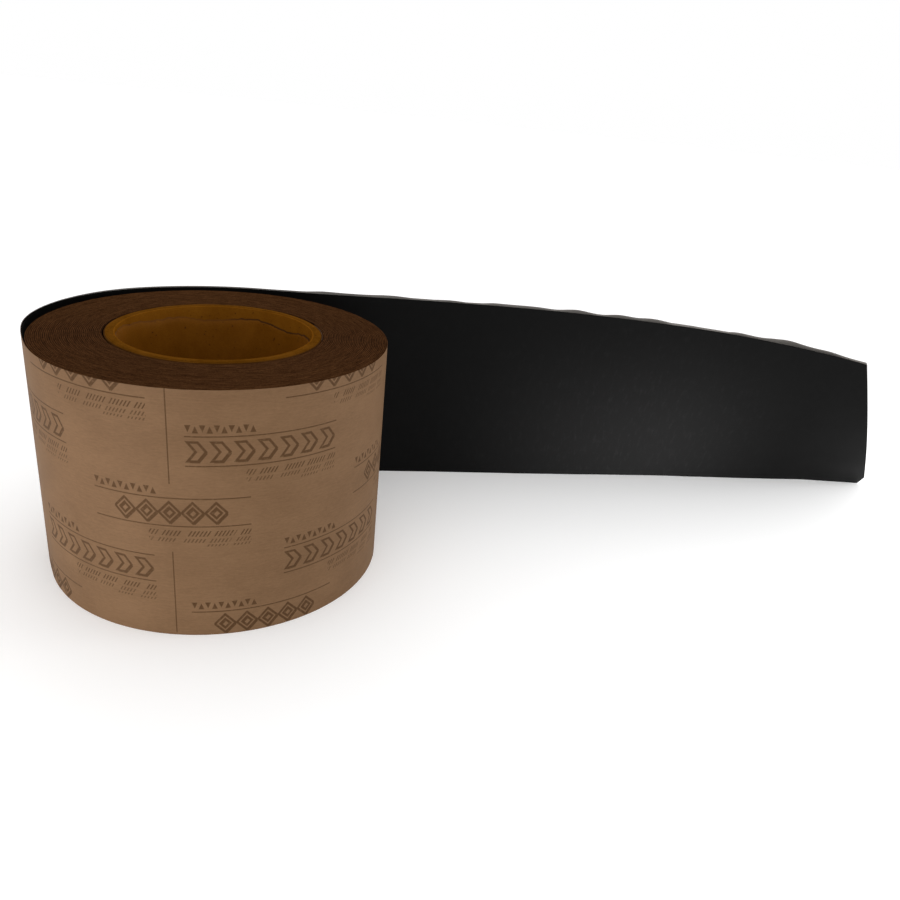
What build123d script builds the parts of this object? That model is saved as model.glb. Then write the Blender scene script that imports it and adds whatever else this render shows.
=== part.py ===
from build123d import *
import os

# A roll of wide repair tape standing on end: a paperboard core, a three-layer strip (black
# carrier, adhesive, kraft release liner) wound on it, the outermost turn come loose, and a
# tail pulled out to one side. Millimetres, +Z up, origin on the core's axis at its lower end.

# Core: a tube glued up from board plies, standing a little proud of the wound strip
core_bore_radius = 38.5
core_ply_thickness = 0.5
core_ply_count = 9
core_length = 100.5
core_radius = core_bore_radius + core_ply_count * core_ply_thickness

# Strip: its width and the thickness of each of its layers
tape_width = 100.0
carrier_thickness = 0.45
adhesive_thickness = 0.10
liner_thickness = 0.15
liner_at = carrier_thickness + adhesive_thickness
strip_thickness = liner_at + liner_thickness
layers = {
    "carrier": (0.0, carrier_thickness),
    "adhesive": (carrier_thickness, liner_at),
    "liner": (liner_at, strip_thickness),
}

# Double-sided tab that holds the strip's inner end to the core
tab_thickness = 0.2
tab_degrees = 30.0
tab_clearance = 0.05

# Winding: two half circles a turn, clockwise outwards seen from above
wound_half_turns = 77
half_turn_growth = strip_thickness / 2
winding_start_radius = core_radius + tab_thickness + tab_clearance
wound_radius = winding_start_radius + wound_half_turns * half_turn_growth
departure_angle = 202.0
winding_start_angle = departure_angle + 180.0 * wound_half_turns

# Clearance between neighbouring bodies
gap = 0.3

# Outermost turn, come loose: tangent arcs, as (radius, degrees), clockwise where negative
loose_turns = {
    "loose_turn_near": [(180.0, -6.5), (64.0, -38.0)],
    "loose_turn_far": [(64.0, -42.0), (105.0, -29.5)],
}

# Tail: its line on the floor straightens, runs straight and bends to the front
tail_relax_radius = 860.0
tail_relax_degrees = 4.0
tail_straight_length = 190.0
tail_droop_radius = 1560.0
tail_droop_degrees = 4.4

# The tail stands upright at first, then leans more and more to the front, and its free end
# is cut on the slant
tail_section_count = 7
tail_section_length = 50.0
tail_upright_length = 50.0
tail_lean_at_end = 37.0
tail_lean_power = 2.0
tail_cut_setback = 52.0

# The liner's free end stands off the adhesive, in two parts that peel away
flap_setback = 15.0
flap_standoff = 0.3
flap_root_length = 27.5

os.makedirs("parts", exist_ok=True)


def save(piece, name):
    """Labels a finished piece and writes it under its node's name."""
    piece.label = name
    export_step(piece, f"parts/{name}.step")


def draw_half_turns(offset):
    """One face of the wound strip, at an offset from its inner face, as its two ends."""
    arcs = []
    for half_turn in range(wound_half_turns):
        start_angle = winding_start_angle - 180.0 * half_turn
        centre = Vector(-half_turn_growth / 2, 0).rotate(Axis.Z, start_angle)
        radius = winding_start_radius + offset + (half_turn + 0.5) * half_turn_growth
        arcs.append(CenterArc(centre, radius, start_angle, -180.0))
    return arcs[0] @ 0, arcs[-1] @ 1


def draw_bends(start, heading, bends, offset):
    """Tangent arcs at an offset outside a clockwise path: their ends, and the last heading."""
    first = start + heading.rotate(Axis.Z, 90.0) * offset
    point = first
    for radius, degrees in bends:
        arc = JernArc(point, heading, radius + offset, degrees)
        point = arc @ 1
        heading = arc % 1
    return first, point, heading


# Core plies, from the bore outwards
core_plies = ["core_inner_ply"]
core_plies += [f"core_body_ply_{number}" for number in range(1, core_ply_count - 1)]
core_plies += ["core_outer_ply"]
for number, name in enumerate(core_plies):
    ply_radius = core_bore_radius + number * core_ply_thickness
    with BuildPart() as core_ply:
        with BuildSketch():
            Circle(ply_radius + core_ply_thickness)
            Circle(ply_radius, mode=Mode.SUBTRACT)
        extrude(amount=core_length)
    save(core_ply.part, name)

# Tab under the strip's inner end
with BuildPart() as start_tab:
    with BuildSketch():
        with BuildLine():
            tab_inner = CenterArc((0, 0), core_radius, winding_start_angle, -tab_degrees)
            tab_outer = CenterArc(
                (0, 0), core_radius + tab_thickness, winding_start_angle, -tab_degrees
            )
            Line(tab_inner @ 0, tab_outer @ 0)
            Line(tab_inner @ 1, tab_outer @ 1)
        make_face()
    extrude(amount=tape_width)
save(start_tab.part, "start_tab")

# Wound strip, one continuous spiral for each layer
for layer, (inner, outer) in layers.items():
    with BuildPart() as wound_layer:
        with BuildSketch():
            with BuildLine():
                inner_start, inner_end = draw_half_turns(inner)
                outer_start, outer_end = draw_half_turns(outer)
                Line(inner_start, outer_start)
                Line(inner_end, outer_end)
            make_face()
        extrude(amount=tape_width)
    save(wound_layer.part, f"wound_{layer}")

# Loose turn, in two sections that follow one another round the back of the roll
departure = Vector(1, 0).rotate(Axis.Z, departure_angle)
path_heading = departure.rotate(Axis.Z, -90.0)
path_point = departure * (wound_radius + gap)
for section, bends in loose_turns.items():
    path_point += path_heading * gap
    with BuildLine():
        _, next_point, next_heading = draw_bends(path_point, path_heading, bends, 0.0)
    for layer, (inner, outer) in layers.items():
        with BuildPart() as loose_layer:
            with BuildSketch():
                with BuildLine():
                    inner_start, inner_end, _ = draw_bends(path_point, path_heading, bends, inner)
                    outer_start, outer_end, _ = draw_bends(path_point, path_heading, bends, outer)
                    Line(inner_start, outer_start)
                    Line(inner_end, outer_end)
                make_face()
            extrude(amount=tape_width)
        save(loose_layer.part, f"{section}_{layer}")
    path_point = next_point
    path_heading = next_heading

# Line of the tail's front lower edge on the floor
with BuildLine() as tail_line:
    relaxing = JernArc(path_point, path_heading, tail_relax_radius, tail_relax_degrees)
    running = PolarLine(relaxing @ 1, tail_straight_length, direction=relaxing % 1)
    JernArc(running @ 1, running % 1, tail_droop_radius, -tail_droop_degrees)
tail_path = tail_line.wire()
tail_length = tail_path.length


def tail_lean(distance):
    """Degrees that the tail leans to the front, at a distance along its line."""
    leaning_share = max(distance - tail_upright_length, 0.0) / (tail_length - tail_upright_length)
    return tail_lean_at_end * leaning_share**tail_lean_power


def tail_plane(distance):
    """Plane across the tail: local X through its thickness to the back, local Y up its width."""
    point = tail_path.position_at(distance, position_mode=PositionMode.LENGTH)
    heading = tail_path.tangent_at(distance, position_mode=PositionMode.LENGTH)
    to_back = heading.rotate(Axis.Z, 90.0)
    to_back = to_back.rotate(Axis(point, heading), tail_lean(distance))
    return Plane(point, x_dir=to_back, z_dir=heading)


def tail_slice(distance, inner, outer):
    """Cross-section of one layer of the tail, at a distance along its line."""
    with BuildSketch(tail_plane(distance)) as across:
        with Locations(((inner + outer) / 2, tape_width / 2)):
            Rectangle(outer - inner, tape_width)
    return across.sketch


def tail_slices(start, end, inner, outer):
    """The two cross-sections that a section of one layer runs between, clear of its neighbours."""
    return [tail_slice(distance, inner, outer) for distance in (start + gap / 2, end - gap / 2)]


def slanted_cut():
    """Plane of the scissor cut, through the tail's lower corner and set back at its top."""
    end = tail_plane(tail_length)
    up_the_cut = end.y_dir * tape_width - end.z_dir * tail_cut_setback
    return Plane(end.origin, x_dir=end.x_dir, z_dir=end.x_dir.cross(up_the_cut))


# Tail sections, a joint's gap apart; on the last one the liner soon gives way to the flap
section_starts = [number * tail_section_length for number in range(tail_section_count)]
section_ends = section_starts[1:] + [tail_length + gap / 2]
flap_start = section_starts[-1] + flap_setback
for number, (start, end) in enumerate(zip(section_starts, section_ends), start=1):
    for layer, (inner, outer) in layers.items():
        layer_end = min(end, flap_start) if layer == "liner" else end
        with BuildPart() as tail_layer:
            loft(tail_slices(start, layer_end, inner, outer), ruled=True)
            if layer_end > flap_start:
                split(bisect_by=slanted_cut(), keep=Keep.BOTTOM)
        save(tail_layer.part, f"tail_{number}_{layer}")

# Liner flap over the rest of the last section
flap_middle = flap_start + flap_root_length
flap_inner = liner_at + flap_standoff
flap_outer = flap_inner + liner_thickness
with BuildPart() as flap_root:
    loft(tail_slices(flap_start, flap_middle, flap_inner, flap_outer), ruled=True)
    split(bisect_by=slanted_cut(), keep=Keep.BOTTOM)
save(flap_root.part, "liner_flap_root")

with BuildPart() as flap_end:
    loft(tail_slices(flap_middle, tail_length + gap / 2, flap_inner, flap_outer), ruled=True)
    split(bisect_by=slanted_cut(), keep=Keep.BOTTOM)
save(flap_end.part, "liner_flap_end")
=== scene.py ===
import math

import bpy
import numpy as np
from mathutils import Matrix, Vector, noise


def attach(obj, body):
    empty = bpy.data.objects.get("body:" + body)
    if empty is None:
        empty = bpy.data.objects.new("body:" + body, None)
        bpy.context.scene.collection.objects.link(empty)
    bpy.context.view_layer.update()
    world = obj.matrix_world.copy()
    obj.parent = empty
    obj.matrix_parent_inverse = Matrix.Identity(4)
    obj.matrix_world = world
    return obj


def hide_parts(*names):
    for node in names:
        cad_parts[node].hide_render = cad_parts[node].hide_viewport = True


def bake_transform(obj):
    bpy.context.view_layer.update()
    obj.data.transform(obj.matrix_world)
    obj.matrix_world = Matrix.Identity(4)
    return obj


# A roll of wide repair tape standing on end, its outermost turn come loose and a tail pulled
# out. Metres, in the CAD's frame. A place on the strip is given as (s, v, n): s along it from
# the line where it leaves the roll, negative on the roll; v up its width; n outwards through it.

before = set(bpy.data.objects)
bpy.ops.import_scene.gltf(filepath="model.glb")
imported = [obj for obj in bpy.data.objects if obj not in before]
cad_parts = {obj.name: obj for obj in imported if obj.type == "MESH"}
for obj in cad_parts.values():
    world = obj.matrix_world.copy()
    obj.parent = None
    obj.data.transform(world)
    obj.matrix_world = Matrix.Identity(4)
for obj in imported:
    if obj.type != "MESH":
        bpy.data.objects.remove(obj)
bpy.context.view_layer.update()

MM = 0.001
TURN = 2 * math.pi

# The strip, as in the CAD
TAPE_WIDTH = 100 * MM
CARRIER = (0.0, 0.45 * MM)
ADHESIVE = (0.45 * MM, 0.55 * MM)
LINER = (0.55 * MM, 0.70 * MM)
STRIP_THICKNESS = 0.70 * MM
WOUND_TURNS = 38.5
WOUND_RADIUS = 70.2 * MM
DEPARTURE = math.radians(202)
GAP = 0.3 * MM

# Its line on the floor past the roll: (length or radius in mm, degrees; 0 degrees is straight)
LOOSE_TURN_NEAR = [(0.3, 0), (180, -6.5), (64, -38)]
LOOSE_TURN_FAR = [(0.3, 0), (64, -42), (105, -29.5)]
TAIL = [(860, 4.0), (190, 0), (1560, -4.4)]
TAIL_SECTION = 50 * MM
TAIL_UPRIGHT = 50 * MM
TAIL_LEAN = math.radians(37)
TAIL_LEAN_POWER = 2.0
CUT_SETBACK = 52 * MM
CUT_FOOT = 8 * MM
FLAP_SETBACK = 15 * MM
FLAP_ROOT = 27.5 * MM
FLAP_STANDOFF = 0.3 * MM

# The core, as in the CAD
CORE_BORE_RADIUS = 38.5 * MM
CORE_PLY = 0.5 * MM
CORE_LENGTH = 100.5 * MM
CORE_PLIES = ["core_inner_ply"] + [f"core_body_ply_{k}" for k in range(1, 8)] + ["core_outer_ply"]
CORE_WALL = len(CORE_PLIES) * CORE_PLY


def smoothstep(low, high, x):
    """0 below low, 1 above high, and smooth between them. Works on numbers and arrays."""
    t = np.clip((np.asarray(x, float) - low) / (high - low), 0, 1)
    return t * t * (3 - 2 * t)


def wander(x, seed, scale):
    """Smooth noise about 0 along one coordinate, with features about scale long."""
    flat = np.ravel(x)
    found = [noise.noise((float(value) / scale, seed * 7.31, seed * 1.7)) for value in flat]
    return np.reshape(found, np.shape(x))


def wander_2d(x, y, seed, scale_x, scale_y):
    """Smooth noise about 0 over two coordinates."""
    pairs = zip(np.ravel(x), np.ravel(y))
    found = [noise.noise((float(a) / scale_x, float(b) / scale_y, seed * 5.13)) for a, b in pairs]
    return np.reshape(found, np.shape(x))


# The strip's line ------------------------------------------------------------------------


def run_length(run):
    """Length of one run of the line."""
    size, degrees = run
    return size * MM * (math.radians(abs(degrees)) if degrees else 1.0)


class StripLine:
    """The line of the strip's inner face on the floor: a spiral before s = 0, then the runs."""

    def __init__(self, runs):
        self.starts, self.points, self.headings, self.curvatures = [], [], [], []
        s = 0.0
        point = (WOUND_RADIUS + GAP) * np.array([math.cos(DEPARTURE), math.sin(DEPARTURE)])
        heading = DEPARTURE - math.pi / 2
        for run in runs:
            size, degrees = run
            length = run_length(run)
            curvature = math.copysign(1 / (size * MM), degrees) if degrees else 0.0
            self.starts.append(s)
            self.points.append(point)
            self.headings.append(heading)
            self.curvatures.append(curvature)
            point = point + self._step(heading, curvature, length)
            heading += curvature * length
            s += length
        self.length = s

    @staticmethod
    def _step(heading, curvature, distance):
        """Chord from a run's start to a distance along it."""
        half_turn = curvature * distance / 2
        chord = distance * np.sinc(half_turn / math.pi)
        angle = heading + half_turn
        return np.stack([chord * np.cos(angle), chord * np.sin(angle)], axis=-1)

    def at(self, s):
        """(x and y, heading) at each s."""
        s = np.asarray(s, float)
        index = np.clip(np.searchsorted(self.starts, s, side="right") - 1, 0, None)
        along = np.maximum(s - np.array(self.starts)[index], 0.0)
        curvature = np.array(self.curvatures)[index]
        start_heading = np.array(self.headings)[index]
        loose = np.array(self.points)[index] + self._step(start_heading, curvature, along)
        loose_heading = start_heading + curvature * along
        angle = DEPARTURE + swept_angle(s)
        radius = WOUND_RADIUS - STRIP_THICKNESS * swept_angle(s) / TURN
        wound = radius[..., None] * np.stack([np.cos(angle), np.sin(angle)], axis=-1)
        on_roll = s < 0
        xy = np.where(on_roll[..., None], wound, loose)
        return xy, np.where(on_roll, angle - math.pi / 2, loose_heading)


def swept_angle(s):
    """Angle from the departure line back to s, on the wound part."""
    back = np.maximum(-np.asarray(s, float), 0.0)
    growth = STRIP_THICKNESS / math.pi
    return (WOUND_RADIUS - np.sqrt(WOUND_RADIUS**2 - growth * back)) * TURN / STRIP_THICKNESS


def wound_s(angle):
    """s at an angle back from the departure line."""
    return -(WOUND_RADIUS * angle - STRIP_THICKNESS * angle**2 / (2 * TURN))


line = StripLine(LOOSE_TURN_NEAR + LOOSE_TURN_FAR + TAIL)
near_length = sum(map(run_length, LOOSE_TURN_NEAR))
tail_start = near_length + sum(map(run_length, LOOSE_TURN_FAR))
tail_length = line.length - tail_start
flap_start = tail_start + 6 * TAIL_SECTION + FLAP_SETBACK
flap_middle = flap_start + FLAP_ROOT


def lean(s):
    """How far the tail leans to the front at s."""
    share = np.maximum(s - tail_start - TAIL_UPRIGHT, 0) / (tail_length - TAIL_UPRIGHT)
    return TAIL_LEAN * share**TAIL_LEAN_POWER


def sway(s, v):
    """Slow unevenness of the loose strip, the same for its three layers."""
    loose = smoothstep(30 * MM, 90 * MM, s)
    free = smoothstep(tail_start, line.length, s)
    slow = wander_2d(s, v, 3, 70 * MM, 90 * MM)
    fine = wander_2d(s, v, 8, 23 * MM, 60 * MM)
    return loose * (0.35 + 0.9 * free) * (0.9 * slow + 0.22 * fine) * MM


def strip_point(s, v, n):
    """Places on the strip as points in the frame."""
    xy, heading = line.at(s)
    tilt = lean(s)
    out_flat = np.stack([-np.sin(heading), np.cos(heading)], axis=-1)
    settled = n + sway(s, v) - GAP * (s >= 0) * (1 - smoothstep(0, 15 * MM, s))
    sideways = settled * np.cos(tilt) - v * np.sin(tilt)
    height = np.maximum(settled * np.sin(tilt) + v * np.cos(tilt), 0.0)
    return np.concatenate([xy + out_flat * sideways[..., None], height[..., None]], axis=-1)


# Meshes ----------------------------------------------------------------------------------

COLUMN_STEP = 1.3 * MM
STRIP_ROWS = 41
LAST_TURN_COLUMNS = 361
COVERED_COLUMNS_PER_TURN = 160
COVERED_ROWS = 3
SHARP_EDGE = math.radians(40)


def closed_grid(name, inner, outer, uv, materials):
    """A thin closed piece between two grids of points. Its outer face, inner face and edges
    have the three materials, and uv gives each grid point's place in the strip map."""
    columns, rows = inner.shape[:2]
    count = columns * rows
    index = np.arange(count).reshape(columns, rows)
    a, b = index[:-1, :-1].ravel(), index[:-1, 1:].ravel()
    c, d = index[1:, 1:].ravel(), index[1:, :-1].ravel()
    outer_faces = np.stack([a, b, c, d], axis=1) + count
    inner_faces = np.stack([d, c, b, a], axis=1)
    rim = np.concatenate([index[:, 0], index[-1, 1:], index[-2::-1, -1], index[0, -2:0:-1]])
    ahead = np.roll(rim, -1)
    edge_faces = np.stack([rim, ahead, ahead + count, rim + count], axis=1)
    faces = np.concatenate([outer_faces, inner_faces, edge_faces])
    sides = np.repeat([0, 1, 2], [len(outer_faces), len(inner_faces), len(edge_faces)])
    points = np.concatenate([inner.reshape(-1, 3), outer.reshape(-1, 3)])
    return build_mesh(name, points, faces, np.tile(uv.reshape(-1, 2), (2, 1)), materials, sides)


def build_mesh(name, points, faces, uv, materials, sides):
    """An object from arrays: quads, a uv for each point, and each face's material number."""
    mesh = bpy.data.meshes.new(name)
    mesh.vertices.add(len(points))
    mesh.vertices.foreach_set("co", points.astype(np.float32).ravel())
    mesh.loops.add(faces.size)
    mesh.loops.foreach_set("vertex_index", faces.astype(np.int32).ravel())
    mesh.polygons.add(len(faces))
    mesh.polygons.foreach_set("loop_start", np.arange(0, faces.size, 4, dtype=np.int32))
    mesh.polygons.foreach_set("material_index", sides.astype(np.int32))
    mesh.update(calc_edges=True)
    layer = mesh.uv_layers.new(name="strip")
    layer.data.foreach_set("uv", uv[faces.ravel()].astype(np.float32).ravel())
    mesh.polygons.foreach_set("use_smooth", np.ones(len(faces), bool))
    mesh.set_sharp_from_angle(angle=SHARP_EDGE)
    mesh.validate()
    for material in materials:
        mesh.materials.append(material)
    piece = bpy.data.objects.new(name, mesh)
    bpy.context.scene.collection.objects.link(piece)
    return piece


def strip_piece(name, start, end, v, layer, materials, lift=None):
    """A piece of one layer from start to end, with rows at heights v, below the scissor cut.
    Its faces are lifted outwards by lift(s, v)."""
    s = np.repeat(steps(start, end, COLUMN_STEP)[:, None], len(v), axis=1)
    v = v[None, :] * cut_height(s) / TAPE_WIDTH
    if lift:
        v = v * (1 + liner_overhang(s) / TAPE_WIDTH)
    raised = lift(s, v) if lift else 0.0
    inner = strip_point(s, v, layer[0] + raised)
    outer = strip_point(s, v, layer[1] + raised)
    return closed_grid(name, inner, outer, np.stack([s, v], axis=-1), materials)


def steps(start, end, size):
    """Evenly spaced values from start to end, about size apart."""
    return np.linspace(start, end, max(2, round(abs(end - start) / size) + 1))


# Materials -------------------------------------------------------------------------------


class Field:
    """A value in a shader that Python's operators extend with Math nodes."""

    def __init__(self, surface, socket):
        self.surface = surface
        self.socket = socket

    def _math(self, operation, *others):
        node = self.surface.node("ShaderNodeMath")
        node.operation = operation
        for socket, value in zip(node.inputs, (self, *others)):
            self.surface.feed(socket, value)
        return Field(self.surface, node.outputs[0])

    def __add__(self, other):
        return self._math("ADD", other)

    def __sub__(self, other):
        return self._math("SUBTRACT", other)

    def __mul__(self, other):
        return self._math("MULTIPLY", other)

    def __truediv__(self, other):
        return self._math("DIVIDE", other)

    def __rsub__(self, other):
        return self * -1.0 + other

    def abs(self):
        return self._math("ABSOLUTE")

    def floor(self):
        return self._math("FLOOR")

    def mod(self, size):
        return self._math("FLOORED_MODULO", size)

    def max(self, other):
        return self._math("MAXIMUM", other)

    def ramp(self, low, high, start=0.0, end=1.0):
        """start where this is below low, end where it is above high, smooth between."""
        node = self.surface.node("ShaderNodeMapRange")
        node.interpolation_type = "SMOOTHSTEP"
        for socket, value in zip(node.inputs, (self, low, high, start, end)):
            self.surface.feed(socket, value)
        return Field(self.surface, node.outputs[0])

    def inside(self, low, high, blur=0.12):
        """1 between low and high, 0 outside, with edges blur wide."""
        return self.ramp(low - blur, low + blur) * self.ramp(high - blur, high + blur, 1.0, 0.0)


class Surface:
    """A material on one Principled shader, with short ways to add nodes to it."""

    def __init__(self, name, **constants):
        self.material = bpy.data.materials.new(name)
        self.material.use_nodes = True
        self.tree = self.material.node_tree
        self.shader = self.tree.nodes["Principled BSDF"]
        for socket, value in constants.items():
            self.shader.inputs[socket.replace("_", " ")].default_value = value

    def node(self, kind):
        return self.tree.nodes.new(kind)

    def feed(self, socket, value):
        if isinstance(value, Field):
            value = value.socket
        if isinstance(value, bpy.types.NodeSocket):
            self.tree.links.new(value, socket)
        else:
            socket.default_value = value

    def strip_place(self):
        """(distance back along the strip, height on it), in millimetres."""
        node = self.node("ShaderNodeUVMap")
        node.uv_map = "strip"
        split = self.node("ShaderNodeSeparateXYZ")
        self.feed(split.inputs[0], node.outputs[0])
        return Field(self, split.outputs[0]) * -1000.0, Field(self, split.outputs[1]) * 1000.0

    def object_place(self):
        """x, y and z on the object, in millimetres."""
        node = self.node("ShaderNodeTexCoord")
        split = self.node("ShaderNodeSeparateXYZ")
        self.feed(split.inputs[0], node.outputs["Object"])
        return [Field(self, output) * 1000.0 for output in split.outputs]

    def noise(self, x, y, z=0.0, detail=3.0, roughness=0.5, distortion=0.0):
        """Noise from 0 to 1 about 0.5, with features about 1 across in x, y and z."""
        place = self.node("ShaderNodeCombineXYZ")
        for socket, value in zip(place.inputs, (x, y, z)):
            self.feed(socket, value)
        node = self.node("ShaderNodeTexNoise")
        self.feed(node.inputs["Vector"], place.outputs[0])
        node.inputs["Scale"].default_value = 1.0
        node.inputs["Detail"].default_value = detail
        node.inputs["Roughness"].default_value = roughness
        node.inputs["Distortion"].default_value = distortion
        return Field(self, node.outputs[0])

    def cells(self, x, y):
        """A random value from 0 to 1 for each whole x and y."""
        place = self.node("ShaderNodeCombineXYZ")
        for socket, value in zip(place.inputs, (x, y)):
            self.feed(socket, value)
        node = self.node("ShaderNodeTexWhiteNoise")
        node.noise_dimensions = "3D"
        self.feed(node.inputs["Vector"], place.outputs[0])
        return Field(self, node.outputs[0])

    def mix(self, factor, first, second):
        """A colour between two, as a socket."""
        node = self.node("ShaderNodeMix")
        node.data_type = "RGBA"
        self.feed(node.inputs["Factor"], factor)
        colour_a, colour_b = [i for i in node.inputs if i.type == "RGBA"]
        self.feed(colour_a, rgba(first))
        self.feed(colour_b, rgba(second))
        return [o for o in node.outputs if o.type == "RGBA"][0]

    def finish(self, colour, roughness=None, height=None, depth=0.1):
        """Feeds the shader: a colour, a roughness, and a height whose 1 is depth millimetres."""
        self.feed(self.shader.inputs["Base Color"], colour)
        if roughness is not None:
            self.feed(self.shader.inputs["Roughness"], roughness)
        if height is not None:
            bump = self.node("ShaderNodeBump")
            bump.inputs["Distance"].default_value = depth * MM
            bump.inputs["Strength"].default_value = 1.0
            self.feed(bump.inputs["Height"], height)
            self.feed(self.shader.inputs["Normal"], bump.outputs[0])
        return self.material


def rgba(colour):
    """A colour as four numbers, or a socket as it is."""
    return (*colour, 1.0) if isinstance(colour, tuple) and len(colour) == 3 else colour


KRAFT_LIGHT = (0.172, 0.098, 0.050)
KRAFT_DARK = (0.118, 0.063, 0.029)
INK = (0.062, 0.029, 0.010)

# The print's layout in millimetres: a, back along the strip, and b, down from each block's top
PRINT_PERIOD = 102.8
PRINT_PITCH = 24.1
PRINT_FIRST_ROW = 12.5
PRINT_FIRST_EDGE = 79.6
PRINT_WIDTH = 56.2
TRIANGLE_CELL = 2.4
TRIANGLE_TOP = 0.3
TRIANGLE_HEIGHT = 3.0
TRIANGLE_ROW_WIDTH = 24.0
RULES = (4.6, 15.8)
MARK_CELL = 8.03
MARK_MIDDLE = 10.3
MARK_BAND = (5.6, 15.2)
LOZENGE_CELLS = (1, 6)
SHADOW_SHIFT = (0.55, 0.65)
TICK_CELL = 1.3
TICK_SLANT = 0.6
TICK_GROUP = 7.0
# Each row of ticks: its top, its bottom, where it starts and how strong its ink is
TICK_ROWS = [(17.6, 19.8, 20.4, 1.0), (20.8, 22.4, 20.4, 0.8), (23.1, 24.0, 39.2, 0.8)]
GUIDE_PLACE = 73.6
GUIDE_HALF = 0.3
GUIDE_SPANS = [(-1.0, 35.5), (63.0, 99.0)]


def outline_and_shadow(distance, shadow_distance):
    """Ink of an outlined mark with a drop shadow, from its signed distances in millimetres."""
    outline = distance.abs().ramp(0.32, 0.58, 1.0, 0.0)
    shadow = shadow_distance.ramp(-0.12, 0.12, 1.0, 0.0) * distance.ramp(0.2, 0.45)
    return outline.max(shadow)


def chevron(p, q):
    """Signed distance to a thick chevron that points along p."""
    arm = (p + q.abs() * 0.75 - 1.3).abs() * 0.8 - 1.35
    return arm.max(q.abs() - 3.6)


def lozenge(p, q):
    """Signed distance to a lozenge ring."""
    size = (p.abs() + q.abs() * 0.9) * 0.74
    return (size - 2.05).abs() - 0.72


def triangles(a, b):
    """Ink of the short top row: small triangles, point up and point down by turns."""
    across = (a.mod(TRIANGLE_CELL) / TRIANGLE_CELL - 0.5).abs() * 2.0
    flipped = (a / TRIANGLE_CELL).floor().mod(2.0)
    rise = (b - TRIANGLE_TOP) / TRIANGLE_HEIGHT
    up = across + rise * (1.0 - flipped) + (1.0 - rise) * flipped
    band = b.inside(TRIANGLE_TOP, TRIANGLE_TOP + TRIANGLE_HEIGHT)
    return up.ramp(0.78, 0.96, 1.0, 0.0) * band * a.inside(0.0, TRIANGLE_ROW_WIDTH)


def rules(b, in_block):
    """Ink of the two rules above and below the large marks."""
    upper, lower = [(b - place).abs().ramp(0.14, 0.30, 1.0, 0.0) for place in RULES]
    return upper.max(lower) * in_block


def large_marks(a, b, in_block, odd_row):
    """Ink of the large marks: chevrons over the full width, or lozenges in the middle of it."""
    p = a.mod(MARK_CELL) - MARK_CELL / 2
    q = b - MARK_MIDDLE
    shifted_p, shifted_q = p - SHADOW_SHIFT[0], q - SHADOW_SHIFT[1]
    chevrons = outline_and_shadow(chevron(p, q), chevron(shifted_p, shifted_q)) * in_block
    lozenges = outline_and_shadow(lozenge(p, q), lozenge(shifted_p, shifted_q))
    first, last = LOZENGE_CELLS
    lozenges = lozenges * a.inside(first * MARK_CELL, last * MARK_CELL)
    return (chevrons * (1.0 - odd_row) + lozenges * odd_row) * b.inside(*MARK_BAND)


def tick_rows(surface, a, b, row):
    """Ink of the fine rows: plain slanted ticks in groups."""
    slanted = (a + b * TICK_SLANT) / TICK_CELL
    tick = slanted.floor()
    group = surface.cells((tick / TICK_GROUP).floor(), row) * 2.0 + 4.0
    drawn = tick.mod(TICK_GROUP).ramp(group, group + 0.5, 1.0, 0.0)
    ticks = (slanted - tick - 0.5).abs().ramp(0.14, 0.26, 1.0, 0.0) * drawn
    upper, middle, lower = [
        b.inside(top, bottom, 0.1) * strength * a.inside(start, PRINT_WIDTH)
        for top, bottom, start, strength in TICK_ROWS
    ]
    return ticks * upper.max(middle).max(lower)


def guide_lines(back, down):
    """Ink of the upright guide lines, in two spans of the strip's width."""
    off_line = ((back - GUIDE_PLACE).mod(PRINT_PERIOD) - GUIDE_HALF).abs()
    upper, lower = [down.inside(*span) for span in GUIDE_SPANS]
    return off_line.ramp(0.12, 0.28, 1.0, 0.0) * upper.max(lower)


def print_ink(surface, back, height):
    """Ink on the liner: staggered blocks of plain geometric marks, rules and ticks."""
    down = TAPE_WIDTH / MM - height
    row = ((down - PRINT_FIRST_ROW) / PRINT_PITCH).floor()
    b = down - PRINT_FIRST_ROW - row * PRINT_PITCH
    shifted = back - PRINT_FIRST_EDGE + row * (PRINT_PERIOD / 3)
    a = shifted.mod(PRINT_PERIOD)
    in_block = a.inside(0.0, PRINT_WIDTH)
    ink = triangles(a, b).max(rules(b, in_block))
    ink = ink.max(large_marks(a, b, in_block, row.mod(2.0)))
    ink = ink.max(tick_rows(surface, a, b, row))
    return ink.max(guide_lines(back, down))


def kraft(surface, back, height):
    """(colour share, height) of kraft paper: clouds, fibres and specks."""
    clouds = surface.noise(back / 26.0, height / 19.0, 1.0, detail=4.0, roughness=0.6)
    grain = surface.noise(back / 1.6, height / 0.8, 2.0, detail=3.0, roughness=0.65)
    fibres = surface.noise(back / 5.0, height / 0.45, 3.0, detail=2.0, roughness=0.6, distortion=1.2)
    share = clouds * 0.55 + grain * 0.3 + fibres * 0.35
    return share, grain * 0.6 + fibres * 0.5


def printed_kraft():
    """The liner's outer face: kraft paper with the print."""
    surface = Surface("kraft_liner_printed", Specular_IOR_Level=0.12)
    back, height = surface.strip_place()
    share, relief = kraft(surface, back, height)
    paper = surface.mix(share.ramp(0.30, 0.85), KRAFT_DARK, KRAFT_LIGHT)
    wear = surface.noise(back / 1.1, height / 1.1, 5.0, detail=2.0).ramp(0.22, 0.5, 0.55, 0.92)
    ink = print_ink(surface, back, height)
    colour = surface.mix(ink * wear, paper, INK)
    return surface.finish(colour, share.ramp(0.3, 0.9, 0.66, 0.78), relief - ink * 1.6, 0.035)


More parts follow.
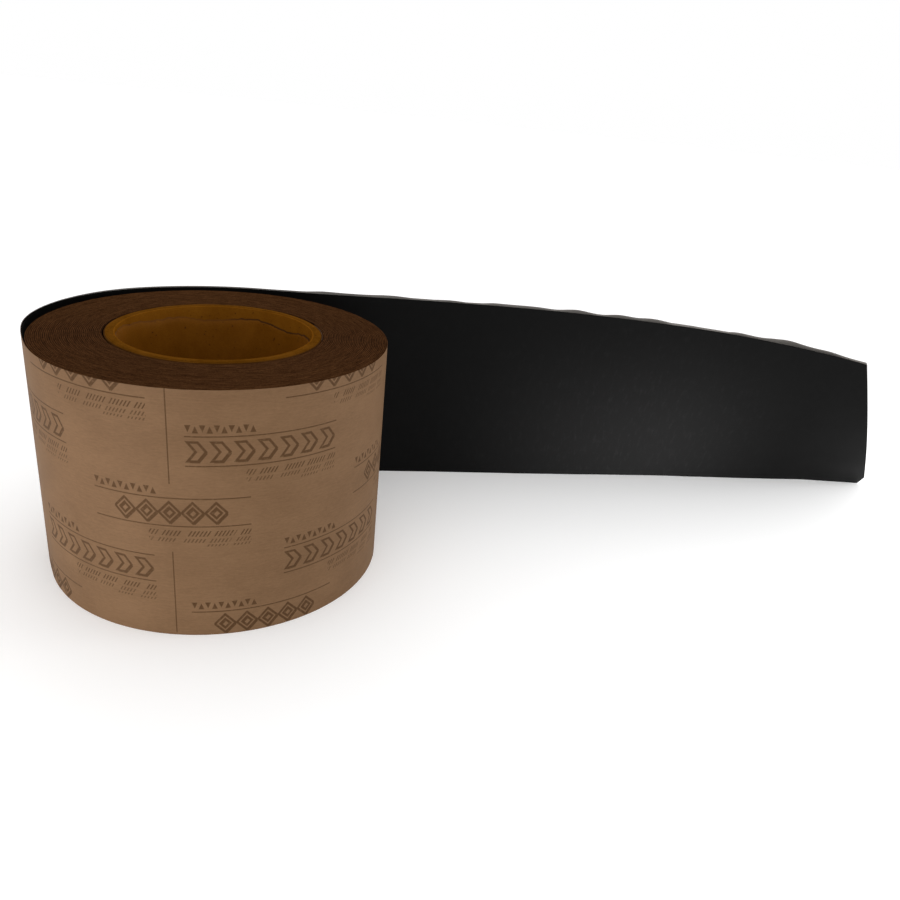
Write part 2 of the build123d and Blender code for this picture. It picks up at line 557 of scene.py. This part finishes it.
def release_kraft():
    """The liner's inner face: paler, with the slight gloss of its release coat."""
    surface = Surface("kraft_liner_release_side", Specular_IOR_Level=0.35)
    back, height = surface.strip_place()
    share, relief = kraft(surface, back, height)
    colour = surface.mix(share.ramp(0.30, 0.85), (0.135, 0.125, 0.115), (0.215, 0.200, 0.185))
    return surface.finish(colour, share.ramp(0.3, 0.9, 0.34, 0.46), relief, 0.02)


def kraft_edge():
    """The liner's slit edges: darker brown, a little fuzzy."""
    surface = Surface("kraft_liner_edge", Specular_IOR_Level=0.0)
    back, height = surface.strip_place()
    fuzz = surface.noise(back / 0.7, height / 0.7, 4.0, detail=3.0)
    stains = surface.noise(back / 6.0, height / 6.0, 6.0, detail=3.0, roughness=0.7)
    share = (fuzz * 0.4 + stains * 0.7).ramp(0.35, 0.75)
    colour = surface.mix(share, (0.045, 0.0175, 0.0060), (0.112, 0.048, 0.0180))
    return surface.finish(colour, fuzz.ramp(0.2, 0.8, 0.72, 0.9), fuzz, 0.05)


def coated_fabric():
    """The carrier's faces: matte black coating over a fine weave with faint dust, and a mottled painted
    pool of light over the middle of the tail, stronger low down.
    """
    surface = Surface("carrier_coated_fabric", Specular_IOR_Level=0.08)
    back, height = surface.strip_place()
    along = (back + tail_start / MM) * -1.0
    # Painted light: a lighter pool over the middle of the tail, fading towards the roll and the free end,
    # and stronger low down.
    painted_light_pool = along.ramp(80.0, 230.0) * along.ramp(225.0, 325.0, 1.0, 0.0)
    painted_light_pool = painted_light_pool * height.ramp(10.0, 105.0, 1.0, 0.15)
    warp = ((height / 0.42).mod(1.0) - 0.5).abs() * 2.0
    weft = ((back / 0.42).mod(1.0) - 0.5).abs() * 2.0
    clouds = surface.noise(back / 34.0, height / 22.0, 1.0, detail=4.0, roughness=0.6)
    grain = surface.noise(back / 0.9, height / 0.9, 2.0, detail=3.0, roughness=0.7)
    weave = warp.max(weft) * 0.5 + grain * 0.6
    dust_and_light_mottle = surface.noise(back / 2.5, height / 7.0, 7.0, detail=5.0, roughness=0.75).ramp(0.45, 0.8)
    # The lighter colour below serves both the faint dust and the painted light.
    share = (dust_and_light_mottle * clouds.ramp(0.3, 0.8, 0.2, 1.0)) * 0.1 + painted_light_pool * dust_and_light_mottle.ramp(0.0, 1.0, 0.8, 1.2)
    colour = surface.mix(share, (0.0008, 0.0008, 0.0008), (0.0245, 0.0243, 0.0245))
    return surface.finish(colour, (clouds * 0.6 + grain * 0.4).ramp(0.25, 0.8, 0.42, 0.56), weave, 0.03)


def carrier_edge(name, dark, light):
    """The carrier's slit edges. On the roll they are rubbed with brown paper dust."""
    surface = Surface(name, Specular_IOR_Level=0.0)
    back, height = surface.strip_place()
    dust = surface.noise(back / 1.3, height / 1.3, 3.0, detail=4.0, roughness=0.7)
    patches = surface.noise(back / 9.0, height / 9.0, 6.0, detail=3.0, roughness=0.6)
    colour = surface.mix((dust * 0.5 + patches * 0.6).ramp(0.38, 0.72), dark, light)
    return surface.finish(colour, dust.ramp(0.2, 0.8, 0.7, 0.88), dust, 0.06)


def adhesive_film(name, colours, gloss, roughness):
    """Pressure-sensitive adhesive: dark, glossy, faintly rippled."""
    surface = Surface(name, Specular_IOR_Level=gloss)
    back, height = surface.strip_place()
    ripples = surface.noise(back / 3.0, height / 9.0, 2.0, detail=3.0)
    streaks = surface.noise(back / 0.8, height / 14.0, 3.0, detail=2.0)
    colour = surface.mix(ripples.ramp(0.3, 0.7), *colours)
    relief = ripples * 0.6 + streaks * 0.4
    return surface.finish(colour, relief.ramp(0.3, 0.7, *roughness), relief, 0.08)


def board(name, dark, light, roughness, gloss, torn=False):
    """Core board: fibrous brown paperboard round the tube, with dark specks. A torn ply gets
    painted shade along its tear, strongest at the back on the right."""
    surface = Surface(name, Specular_IOR_Level=gloss)
    x, y, z = surface.object_place()
    clouds = surface.noise(x / 9.0, y / 9.0, z / 14.0, detail=4.0, roughness=0.6)
    fibres = surface.noise(x / 0.9, y / 0.9, z / 0.5, detail=3.0, roughness=0.7)
    specks = surface.noise(x / 1.4, y / 1.4, z / 1.4, detail=1.0).ramp(0.70, 0.76, 0.0, 0.7)
    paper = surface.mix((clouds * 0.6 + fibres * 0.45).ramp(0.34, 0.72), dark, light)
    colour = surface.mix(specks, paper, (0.02, 0.009, 0.003))
    if torn:
        back, below = surface.strip_place()
        # Painted shade: the top of the torn ply is darkened along the tear, most at the back on the right.
        shade = back.inside(-1500.0, -90.0, 150.0) * 0.5 + 0.3
        frayed = below + (fibres - 0.5) * 1.2
        colour = surface.mix(frayed.ramp(-0.9, -0.4) * shade, colour, (0.02, 0.006, 0.001))
    return surface.finish(colour, clouds.ramp(0.3, 0.7, roughness - 0.06, roughness + 0.08), fibres, 0.06)


def fixing_tape():
    """Double-sided tab under the strip's inner end."""
    surface = Surface("fixing_tape", Specular_IOR_Level=0.02)
    x, y, z = surface.object_place()
    haze = surface.noise(x / 4.0, y / 4.0, z / 7.0, detail=3.0)
    colour = surface.mix(haze.ramp(0.3, 0.7), (0.050, 0.024, 0.010), (0.075, 0.038, 0.016))
    return surface.finish(colour, haze.ramp(0.3, 0.7, 0.55, 0.7), haze, 0.04)


def floor_surface():
    """Plain pale floor, lit a little from below as on a light table."""
    surface = Surface("pale_floor", Specular_IOR_Level=0.1, Emission_Strength=0.10)
    x, y, _ = surface.object_place()
    clouds = surface.noise(x / 300.0, y / 300.0, 0.0, detail=2.0)
    colour = surface.mix(clouds.ramp(0.3, 0.7), (0.95, 0.95, 0.95), (0.97, 0.97, 0.97))
    return surface.finish(colour, clouds.ramp(0.3, 0.7, 0.7, 0.8))


EDGE_BROWNS = (0.015, 0.0080, 0.0045), (0.039, 0.019, 0.0100)
FACE_BLACKS = (0.012, 0.010, 0.008), (0.022, 0.018, 0.014)
adhesive_edge = adhesive_film("adhesive_edge", EDGE_BROWNS, 0.0, (0.6, 0.8))
adhesive_face = adhesive_film("adhesive_face", FACE_BLACKS, 0.5, (0.20, 0.34))
carrier_face = coated_fabric()
LINER_LOOK = [printed_kraft(), release_kraft(), kraft_edge()]
WOUND_CARRIER_EDGE = carrier_edge("carrier_edge_dusty", (0.012, 0.0053, 0.0028), (0.054, 0.0220, 0.0085))
LOOSE_CARRIER_EDGE = carrier_edge("carrier_edge_clean", (0.0035, 0.0033, 0.0033), (0.0075, 0.0070, 0.0068))
CARRIER_LOOK = [carrier_face, carrier_face, WOUND_CARRIER_EDGE]
ADHESIVE_LOOK = [adhesive_face, adhesive_face, adhesive_edge]
LAYERS = {
    "carrier": (CARRIER, CARRIER_LOOK, 0.15 * MM),
    "adhesive": (ADHESIVE, ADHESIVE_LOOK, 0.20 * MM),
    "liner": (LINER, LINER_LOOK, 0.0),
}

# The wound roll --------------------------------------------------------------------------


def place(piece, body, slot, *nodes):
    """A piece that rides on one body and stands for CAD nodes."""
    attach(piece, body)
    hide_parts(*nodes)
    return piece


def wound_edges(s, inset):
    """(lower, upper) edge of a layer on the roll: it wanders a little from turn to turn."""
    turn = swept_angle(s) / TURN
    drift = 0.14 * wander(turn, 11, 2.3) + 0.09 * wander(turn, 12, 0.21) + 0.07 * wander(s, 13, 3 * MM)
    ease = smoothstep(0.0, 25 * MM, -s)
    return inset * np.ones_like(s), TAPE_WIDTH - inset + drift * ease * MM


def wound_piece(name, layer, look, inset, angles, rows):
    """Part of the spiral of one layer."""
    s = wound_s(angles)
    low, high = wound_edges(s, inset)
    share = np.linspace(0, 1, rows)
    v = low[:, None] + (high - low)[:, None] * share[None, :]
    columns = np.repeat(s[:, None], rows, axis=1)
    inner = strip_point(columns, v, layer[0])
    outer = strip_point(columns, v, layer[1])
    return closed_grid(name, inner, outer, np.stack([columns, v], axis=-1), look)


def build_roll():
    deep_columns = round(COVERED_COLUMNS_PER_TURN * (WOUND_TURNS - 1)) + 1
    deep = np.linspace(WOUND_TURNS * TURN, TURN, deep_columns)
    last = np.linspace(TURN, 0, LAST_TURN_COLUMNS)
    for name, (layer, look, inset) in LAYERS.items():
        edges = [look[2]] * 3
        turns = wound_piece(f"wound_{name}_turns", layer, edges, inset, deep, COVERED_ROWS)
        place(turns, "roll", name, f"wound_{name}")
        covered = [look[0] if name == "liner" else look[2], look[2], look[2]]
        outermost = wound_piece(f"wound_{name}_last_turn", layer, covered, inset, last, STRIP_ROWS)
        place(outermost, "roll", name, f"wound_{name}")


# The loose turn and the tail -------------------------------------------------------------

LINER_OVERHANG = 0.7 * MM
TUNNEL_HEIGHT = 4.4
TUNNEL_SPACING = 15 * MM
TUNNEL_REACH = 17 * MM
CALM_END = 22 * MM


def blend_zone(hinge, half_width):
    """Start and end points of a blend round a hinge line at s = hinge."""
    spots = np.array([hinge - half_width, hinge + half_width])
    return [Vector(p) for p in strip_point(spots, np.zeros(2), np.zeros(2))]


def edge_rows(inset):
    """Heights of a layer's rows, between its edges."""
    return np.linspace(inset, TAPE_WIDTH - inset, STRIP_ROWS)


def liner_overhang(s):
    """How far the liner's upper edge stands past the tape's: more and more along the strip."""
    uneven = 1.0 + 0.5 * wander(s, 25, 22 * MM)
    loose = smoothstep(near_length - 20 * MM, near_length + 40 * MM, s)
    pulled_out = smoothstep(tail_start - 30 * MM, tail_start + 90 * MM, s)
    return LINER_OVERHANG * (0.5 * loose + 0.5 * pulled_out) * uneven


def liner_waves(s, v):
    """How far the liner has lifted off the adhesive: tunnels along the upper edge."""
    on_tail = smoothstep(tail_start + 6 * MM, tail_start + 40 * MM, s)
    waves = np.clip(wander(s[:, :1], 21, TUNNEL_SPACING) + 0.16, 0, None) * TUNNEL_HEIGHT
    near_edge = smoothstep(TAPE_WIDTH - TUNNEL_REACH, TAPE_WIDTH, v) ** 1.5
    cut_top = line.length - CUT_SETBACK
    calm_end = 1 - 0.8 * smoothstep(cut_top - CALM_END, cut_top, s)
    return on_tail * waves * near_edge * calm_end * MM


def flap_lift(s, v):
    """The liner's free end stands a little further off."""
    return liner_waves(s, v) + FLAP_STANDOFF * smoothstep(flap_start, flap_start + 8 * MM, s)


def cut_height(s):
    """Height of the scissor cut at s: it slants down to a short upright end."""
    rise = (TAPE_WIDTH - CUT_FOOT) / CUT_SETBACK
    return np.minimum(CUT_FOOT + (line.length - s) * rise, TAPE_WIDTH)


hinges = [0.5 * GAP, near_length + 0.5 * GAP, tail_start]
hinges += [tail_start + k * TAIL_SECTION for k in range(1, 7)]
bodies = ["roll", "loose_turn_near", "loose_turn_far"] + [f"tail_{k}" for k in range(1, 8)]
half_zones = [11 * MM, 16 * MM, 24 * MM] + [24 * MM] * 5 + [15 * MM]
seams = [0.0] + [(a + b) / 2 for a, b in zip(hinges[:-1], hinges[1:])]


def build_strip():
    for name, (layer, look, inset) in LAYERS.items():
        v = edge_rows(inset)
        if name == "carrier":
            look = [carrier_face, carrier_face, LOOSE_CARRIER_EDGE]
        lift = liner_waves if name == "liner" else None
        for k, (hinge, half, start) in enumerate(zip(hinges, half_zones, seams)):
            last_end = flap_start if name == "liner" else line.length
            end = seams[k + 1] if k + 1 < len(seams) else last_end
            before, after = bodies[k], bodies[k + 1]
            piece = strip_piece(f"strip_{name}_{k + 1}", start, end, v, layer, look, lift)
            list(blend_zone(hinge + (10 * MM if k == 0 else 0), half))
            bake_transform(piece)
            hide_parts(f"{after}_{name}")


def build_flap():
    layer, look, inset = LAYERS["liner"]
    v = edge_rows(inset)
    seam = flap_start + FLAP_ROOT / 2
    root = strip_piece("liner_flap_root_bend", flap_start, seam, v, layer, look, flap_lift)
    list(blend_zone(flap_start + 6 * MM, 7 * MM))
    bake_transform(root)
    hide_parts("liner_flap_root")
    end = strip_piece("liner_flap_end_bend", seam, line.length, v, layer, look, flap_lift)
    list(blend_zone(flap_middle, 11 * MM))
    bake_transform(end)
    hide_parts("liner_flap_end")


# The core --------------------------------------------------------------------------------

CORE_FOOT = 0.05 * MM
PLY_BEVEL = 0.09 * MM
RING_COLUMNS = 360


def torn_depth(angle):
    """How far below the mouth the torn inner ply ends, in millimetres."""
    degrees = np.degrees(angle) % 360
    calm = smoothstep(100, 180, degrees) * (1 - smoothstep(250, 350, degrees))
    wave = 0.8 * np.cos(TURN * (degrees - 97) / 52) * (1 - calm)
    around = np.stack([np.cos(angle), np.sin(angle)], axis=-1)
    broad = np.array([noise.noise((4 * x, 4 * y, 3.3)) for x, y in around])
    fine = np.array([noise.noise((17 * x, 17 * y, 5.1)) for x, y in around])
    return 5.7 - 3.4 * calm + wave + (broad * 0.7 + fine * 0.5)


def ring_piece(name, angles, radii, heights, look):
    """A closed ring from a profile of (radius, height) for each angle."""
    count = radii.shape[1]
    x = radii * np.cos(angles)[:, None]
    y = radii * np.sin(angles)[:, None]
    points = np.stack([x, y, heights], axis=-1).reshape(-1, 3)
    index = np.arange(len(angles) * count).reshape(len(angles), count)
    ahead = np.roll(index, -1, axis=0)
    up, up_ahead = np.roll(index, -1, axis=1), np.roll(ahead, -1, axis=1)
    faces = np.stack([index, ahead, up_ahead, up], axis=-1).reshape(-1, 4)
    below = heights - heights.max(axis=1, keepdims=True)
    uv = np.stack([np.repeat(angles, count), np.ravel(below)], axis=1)
    return build_mesh(name, points, faces, uv, [look], np.zeros(len(faces)))


def torn_ply_profile(angles, inside, outside):
    """(radii, heights) of the inner ply, whose torn and feathered edge lifts off the wall in
    one place."""
    full = np.ones_like(angles)
    foot = CORE_FOOT * full
    top = CORE_LENGTH - torn_depth(angles) * MM
    degrees = np.degrees(angles)
    lifted = 0.6 * MM * smoothstep(2, 22, degrees) * (1 - smoothstep(52, 84, degrees))
    radii = [inside * full, outside * full, outside * full, outside - 0.02 * MM - lifted]
    radii += [outside - 0.14 * MM - lifted, inside + 0.16 * MM - lifted * 0.8]
    radii += [inside + 0.04 * MM - lifted * 0.3, inside * full]
    heights = [foot, foot, top - 4 * MM, top, top - 0.5 * MM]
    heights += [top - 1.5 * MM, top - 2.8 * MM, top - 4.5 * MM]
    return radii, heights


def whole_ply_profile(angles, inside, outside, k):
    """(radii, heights) of ply k: bevelled ends, and an uneven top that falls off towards the
    wall's two faces."""
    middle = CORE_BORE_RADIUS + CORE_WALL / 2
    mouth_fall = 0.75 * (((inside + outside) / 2 - middle) / (CORE_WALL / 2)) ** 2
    wave = 0.10 * wander(angles, 30 + k, 0.6) + 0.05 * wander(angles, 50 + k, 0.1)
    ends_meet = smoothstep(0, 0.3, angles) * (1 - smoothstep(TURN - 0.3, TURN, angles))
    top = CORE_LENGTH - (mouth_fall - wave * ends_meet) * MM
    foot = np.full_like(top, CORE_FOOT)
    bevel = PLY_BEVEL
    radii = [inside, inside + bevel, outside - bevel, outside]
    radii += radii[::-1]
    heights = [foot + bevel, foot, foot, foot + bevel, top - bevel, top, top, top - bevel]
    return [radius * np.ones_like(angles) for radius in radii], heights


def build_core():
    inner_look = board(
        "core_inner_wall", (0.135, 0.045, 0.0014), (0.182, 0.063, 0.0030), 0.5, 0.08, torn=True
    )
    board_look = board("core_board", (0.084, 0.0300, 0.0020), (0.138, 0.052, 0.0052), 0.72, 0.0)
    looks = {
        "core_inner_ply": inner_look,
        # Painted light: ply 1 gets a lighter copy of the board, to lift its face above the tear out of
        # shade.
        "core_body_ply_1": board(
            "core_board_painted_light", (0.140, 0.049, 0.0032), (0.195, 0.072, 0.0060), 0.65, 0.0
        ),
        # Painted shade: the outer ply gets a darker copy of the board, for the dark line between the core
        # and the wound tape.
        "core_outer_ply": board(
            "core_outer_ply", (0.046, 0.018, 0.004), (0.078, 0.031, 0.007), 0.7, 0.0
        ),
    }
    angles = np.linspace(0, TURN, RING_COLUMNS, endpoint=False)
    for k, name in enumerate(CORE_PLIES):
        inside = CORE_BORE_RADIUS + k * CORE_PLY
        outside = inside + CORE_PLY
        if k == 0:
            radii, heights = torn_ply_profile(angles, inside, outside)
        else:
            radii, heights = whole_ply_profile(angles, inside, outside, k)
        look = looks.get(name, board_look)
        radii, heights = np.stack(radii, axis=1), np.stack(heights, axis=1)
        piece = ring_piece(f"{name}_board", angles, radii, heights, look)
        place(piece, "roll", "core_board", name)
    tab_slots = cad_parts["start_tab"].data.materials
    tab_slots.clear()
    tab_slots.append(fixing_tape())


# Studio ----------------------------------------------------------------------------------

FLOOR_RADIUS = 12.0
FLOOR_SIDES = 96

# Area lights: place, target and size in metres, and watts
LIGHTS = {
    "low_left": ((-0.17, -0.20, 0.008), (-0.05, -0.06, 0.0), (0.16, 0.012), 0.24),
    "right": ((0.70, -0.60, 0.20), (0.05, 0.0, 0.03), (0.5, 0.3), 0.15),
    "right_rim": ((0.62, -0.06, 0.12), (0.06, -0.02, 0.03), (0.2, 0.15), 0.9),
    "back": ((0.05, 0.80, 0.95), (0.10, 0, 0.05), (0.9, 0.6), 1.2),
}

# The camera is close in front of the roll, above its mouth, and looks down and to the right
CAMERA_PLACE = (0.036302, -0.324328, 0.194162)
CAMERA_RIGHT = (0.98242, -0.15923, 0.09744)
CAMERA_FORWARD = (0.18523, 0.89641, -0.40267)
CAMERA_LENS = 31.13
SENSOR_WIDTH = 36.0


def build_floor():
    mesh = bpy.data.meshes.new("floor")
    angles = [TURN * k / FLOOR_SIDES for k in range(FLOOR_SIDES)]
    ring = [(FLOOR_RADIUS * math.cos(angle), FLOOR_RADIUS * math.sin(angle), 0.0) for angle in angles]
    mesh.from_pydata(ring, [], [range(FLOOR_SIDES)])
    mesh.materials.append(floor_surface())
    floor = bpy.data.objects.new("floor", mesh)
    bpy.context.scene.collection.objects.link(floor)


def area_light(name, place_at, target, size, power):
    lamp = bpy.data.lights.new(name, "AREA")
    lamp.shape = "RECTANGLE"
    lamp.size, lamp.size_y = size
    lamp.energy = power
    light = bpy.data.objects.new(name, lamp)
    light.location = place_at
    light.rotation_euler = (Vector(target) - Vector(place_at)).to_track_quat("-Z", "Y").to_euler()
    bpy.context.scene.collection.objects.link(light)


def build_lights():
    world = bpy.data.worlds.new("studio")
    bpy.context.scene.world = world
    world.use_nodes = True
    background = world.node_tree.nodes["Background"]
    background.inputs["Color"].default_value = (1, 1, 1, 1)
    background.inputs["Strength"].default_value = 1.0
    for name, (place_at, target, size, power) in LIGHTS.items():
        area_light(name, place_at, target, size, power)


def build_camera():
    camera = bpy.data.cameras.new("camera")
    camera.lens = CAMERA_LENS
    camera.sensor_width = SENSOR_WIDTH
    camera.clip_start = 0.01
    view = bpy.data.objects.new("camera", camera)
    right, forward = Vector(CAMERA_RIGHT), Vector(CAMERA_FORWARD)
    up = right.cross(forward)
    rotation = Matrix((right, up, -forward)).transposed()
    view.matrix_world = Matrix.Translation(CAMERA_PLACE) @ rotation.to_4x4()
    bpy.context.scene.collection.objects.link(view)
    bpy.context.scene.camera = view
    bpy.context.scene.view_settings.view_transform = "Standard"


build_roll()
build_strip()
build_flap()
build_core()
build_floor()
build_lights()
build_camera()

bpy.context.view_layer.update()
